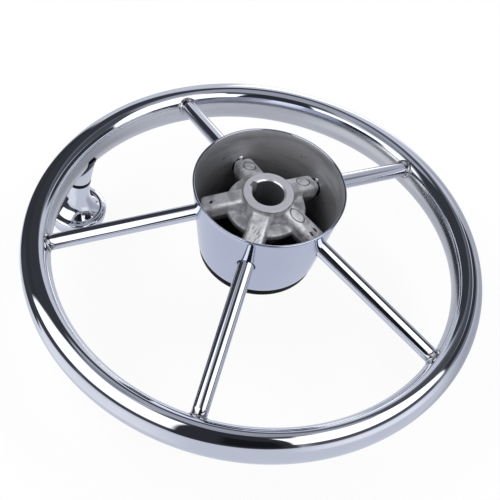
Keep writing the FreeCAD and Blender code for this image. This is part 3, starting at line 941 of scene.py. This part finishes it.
def make_casting(material):
    """The casting's solid remeshed, so that its inner corners and edges round as cast."""
    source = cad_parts["hub_casting"]
    mesh = source.data.copy()
    mesh.materials.clear()
    piece = bpy.data.objects.new("hub_spider", mesh)
    bpy.context.collection.objects.link(piece)
    work = bmesh.new()
    work.from_mesh(mesh)
    bmesh.ops.remove_doubles(work, verts=work.verts, dist=1e-6)
    for arm in NUB_ARMS:
        place = Matrix.Translation(nub_centre(arm))
        bmesh.ops.create_icosphere(work, subdivisions=3, radius=NUB_R, matrix=place)
    work.to_mesh(mesh)
    work.free()
    remesh = piece.modifiers.new("skin", "REMESH")
    remesh.mode = "VOXEL"
    remesh.voxel_size = 0.42 * MM
    final = applied(piece)
    zone = piece.vertex_groups.new(name="as_cast")
    for vertex in final.vertices:
        x, y, z = vertex.co
        radius = math.hypot(x, y)
        clear = min(1.0, max(0.0, (max(radius - BOSS_R, -1.2 * MM - z) / (1.5 * MM))))
        inside = min(1.0, max(0.0, (radius - BORE_MOUTH_R - 1.5 * MM) / (1.5 * MM)))
        zone.add([vertex.index], 0.25 + 0.75 * min(clear, inside), "REPLACE")
    soft = piece.modifiers.new("round", "SMOOTH")
    soft.factor = 0.5
    soft.iterations = 14
    soft.vertex_group = "as_cast"
    final = applied(piece)
    count = len(final.vertices)
    places = [0.0] * (3 * count)
    normals = [0.0] * (3 * count)
    final.vertices.foreach_get("co", places)
    final.vertex_normals.foreach_get("vector", normals)
    for i in range(count):
        spot = Vector(places[3 * i : 3 * i + 3])
        r = math.hypot(spot.x, spot.y)
        if not (spot.z > -0.6 * MM and r < BOSS_R) and r > BORE_MOUTH_R + 1.2 * MM:
            rough = noise.fractal(spot * 420, 1.0, 2.0, 3) * 0.05 * MM
            spot += Vector(normals[3 * i : 3 * i + 3]) * (rough - 0.02 * MM)
        places[3 * i : 3 * i + 3] = machined_again(spot)
    final.vertices.foreach_set("co", places)
    final.materials.append(material)
    final.polygons.foreach_set("use_smooth", [True] * len(final.polygons))
    final.update()
    return piece


def finish_node(name, material):
    """Gives a carried-over solid its finish."""
    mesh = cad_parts[name].data
    mesh.materials.clear()
    mesh.materials.append(material)


def make_camera():
    cos_el, sin_el = math.cos(CAMERA_ELEVATION), math.sin(CAMERA_ELEVATION)
    cos_az, sin_az = math.cos(CAMERA_AZIMUTH), math.sin(CAMERA_AZIMUTH)
    back = Vector((cos_el * sin_az, -cos_el * cos_az, sin_el))
    right = Vector((cos_az, sin_az, 0))
    up = back.cross(right)
    cos_r, sin_r = math.cos(CAMERA_ROLL), math.sin(CAMERA_ROLL)
    across = right * cos_r + up * sin_r
    above = up * cos_r - right * sin_r
    data = bpy.data.cameras.new("camera")
    data.lens = CAMERA_LENS
    data.sensor_width = SENSOR
    data.clip_start = 0.05
    camera = bpy.data.objects.new("camera", data)
    spot = Vector((0, 0, RIM_Z)) + back * CAMERA_DISTANCE
    spot += across * CAMERA_SHIFT_X + above * CAMERA_SHIFT_Y
    columns = (across, above, back, spot)
    matrix = camera.matrix_world.copy()
    for j, column in enumerate(columns):
        for i in range(3):
            matrix[i][j] = column[i]
    camera.matrix_world = matrix
    bpy.context.collection.objects.link(camera)
    bpy.context.scene.camera = camera


def direction(azimuth, elevation):
    a, e = math.radians(azimuth), math.radians(elevation)
    return Vector((math.cos(e) * math.cos(a), math.cos(e) * math.sin(a), math.sin(e)))


def make_card(name, corners, level, soft, distance):
    """Studio card curved round the wheel, seen only in its polished surfaces."""
    columns, rows = 24, 12
    low_left, low_right, high_right, high_left = [Vector(corner) for corner in corners]
    middle = Vector((0, 0, RIM_Z))
    points = []
    places = []
    for i in range(rows + 1):
        v = i / rows
        for j in range(columns + 1):
            u = j / columns
            place = low_left.lerp(low_right, u).lerp(high_left.lerp(high_right, u), v)
            points.append(middle + direction(place.x, place.y) * distance)
            places.append((u, v))
    faces = []
    for i in range(rows):
        for j in range(columns):
            a = i * (columns + 1) + j
            faces.append((a, a + 1, a + columns + 2, a + columns + 1))
    card = new_piece(name, points, faces, [])
    layer = card.data.uv_layers.new(name="card")
    for loop in card.data.loops:
        layer.data[loop.index].uv = places[loop.vertex_index]
    finish = Finish(name)
    finish.tree.nodes.remove(finish.surface)
    uv = finish.node("ShaderNodeUVMap", {"uv_map": "card"})
    u, v, _ = finish.axes(uv)
    cover = finish.ramp(u, 0, soft) * finish.ramp(u, 1, 1 - soft)
    cover = cover * finish.ramp(v, 0, soft) * finish.ramp(v, 1, 1 - soft)
    white = min(1.0, level / 1.5)
    colour = (0.92 + 0.08 * white, 0.96 + 0.04 * white, 1.14 - 0.14 * white, 1)
    glow = finish.node("ShaderNodeEmission", None, {"Color": colour, "Strength": level})
    clear = finish.node("ShaderNodeBsdfTransparent")
    mixed = finish.node("ShaderNodeMixShader", None, [cover, clear, glow])
    finish.feed(finish.tree.nodes["Material Output"].inputs["Surface"], mixed)
    card.data.materials.append(finish.material)
    card.visible_camera = False
    card.visible_diffuse = False
    card.visible_shadow = False
    card.visible_transmission = False
    card.visible_volume_scatter = False


def make_softbox(name, azimuth, elevation, width, height, radiance, distance=2.2):
    """Rectangular soft light pointed at the wheel."""
    data = bpy.data.lights.new(name, "AREA")
    data.shape = "RECTANGLE"
    data.size = width
    data.size_y = height
    data.energy = radiance * math.pi * width * height
    light = bpy.data.objects.new(name, data)
    aim = direction(azimuth, elevation)
    light.location = aim * distance
    light.rotation_euler = aim.to_track_quat("Z", "Y").to_euler()
    light.visible_glossy = False
    bpy.context.collection.objects.link(light)


def make_floor():
    size = 6.0
    level = CAD_BOX[0][2] - 0.2 * MM
    points = [(-size, -size, level), (size, -size, level), (size, size, level), (-size, size, level)]
    floor = new_piece("floor", points, [(0, 1, 2, 3)], [])
    finish = Finish("floor_paper", Roughness=0.9)
    place = finish.place()
    fibre = finish.grain(place, 300.0, 2.0)
    finish.set("Base Color", finish.blend(fibre * 0.1, FLOOR_COLOUR, (0.9, 0.9, 0.91, 1)))
    ray = finish.node("ShaderNodeLightPath", out="Is Camera Ray")
    paper = Field(finish, finish.surface.outputs[0])
    glow = finish.node("ShaderNodeEmission", None, {"Color": (1, 1, 1, 1), "Strength": 1.0})
    mixed = finish.node("ShaderNodeMixShader", None, [ray * FLOOR_GLOW, paper, glow])
    finish.feed(finish.tree.nodes["Material Output"].inputs["Surface"], mixed)
    floor.data.materials.append(finish.material)
    floor.visible_glossy = False


def make_world():
    """Even sky: plain light on the wheel, white where the camera sees it."""
    world = bpy.data.worlds.new("studio")
    world.use_nodes = True
    tree = world.node_tree
    ray = tree.nodes.new("ShaderNodeLightPath")
    background = tree.nodes["Background"]
    tone = tree.nodes.new("ShaderNodeMix")
    tone.data_type = "RGBA"
    tone.inputs[6].default_value = (1, 1, 1, 1)
    tone.inputs[7].default_value = SKY_COLOUR
    tree.links.new(ray.outputs["Is Glossy Ray"], tone.inputs[0])
    tree.links.new(tone.outputs[2], background.inputs["Color"])
    level = tree.nodes.new("ShaderNodeMapRange")
    level.inputs["To Min"].default_value = SKY_LEVEL
    level.inputs["To Max"].default_value = 1.0
    tree.links.new(ray.outputs["Is Camera Ray"], level.inputs["Value"])
    tree.links.new(level.outputs[0], background.inputs["Strength"])
    bpy.context.scene.world = world


def make_studio():
    make_world()
    make_floor()
    make_softbox("softbox_left", -138, 58, 1.7, 1.3, 2.2)
    make_softbox("softbox_far", 45, 66, 2.1, 0.7, 2.2)
    for i, (name, *corners, level, soft) in enumerate(STAGE_CARDS):
        make_card(name, corners, level, soft, CARD_DISTANCE - i * CARD_STEP)


def make_wheel():
    joints = []
    for i in range(SPOKE_COUNT):
        joints.append(spoke_point(RIM_R - RIM_HALF_W, i))
    rim = make_rim(polished_steel("rim_polish", joints, satin_and_shade=rim_inner_satin_and_shade))
    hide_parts("rim")
    copies = hub_copies()
    steel = polished_steel("spoke_polish", joints, 0.02 * MM)
    plain = {"Copies": SPOKE_COUNT, "Lump": 0.0, "Lump scale": 1.0, "Finish": steel}
    spokes = copies.bake(make_spoke(), plain)
    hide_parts(*["spoke_%d" % (i + 1) for i in range(SPOKE_COUNT)])
    lumpy = {"Copies": SPOKE_COUNT, "Lump": WELD_LUMP, "Lump scale": 330.0, "Finish": weld_steel()}
    beads = copies.bake(make_weld(), lumpy)
    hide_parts("rim_welds")
    pieces = [rim, spokes, beads]
    shell = make_shell(shell_outside(), shell_inside())
    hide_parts("hub_shell")
    casting = make_casting(cast_steel())
    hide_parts("hub_casting")
    saddle = make_saddle(polished_steel("saddle_polish", (), 0.01 * MM, dark=saddle_contact_shade))
    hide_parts("knob_saddle")
    pieces += [shell, casting, saddle]
    for piece in pieces:
        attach(piece, "wheel")


def make_turning_knob():
    knob_steel = polished_steel("knob_polish", (), 0.01 * MM, dark=knob_contact_shade)
    knob = make_knob(knob_steel)
    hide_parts("knob_body")
    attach(knob, "knob")
    finish_node("knob_end_cap", knob_steel)


def finish_small_pieces():
    black = moulded_black()
    finish_node("centre_cap", black)
    finish_node("knob_washer", black)
    turned_steel = machined_metal("turned_steel", (0.55, 0.55, 0.58, 1), 0.25)
    for name in ("knob_insert", "knob_spindle", "knob_retainer", "knob_screw"):
        finish_node(name, turned_steel)
    bronze = machined_metal("bush_bronze", (0.62, 0.43, 0.22, 1), 0.35)
    for name in ("knob_bush_upper", "knob_bush_lower"):
        finish_node(name, bronze)


def main():
    make_camera()
    make_studio()
    make_wheel()
    make_turning_knob()
    finish_small_pieces()
    view = bpy.context.scene.view_settings
    view.view_transform = "Standard"


main()
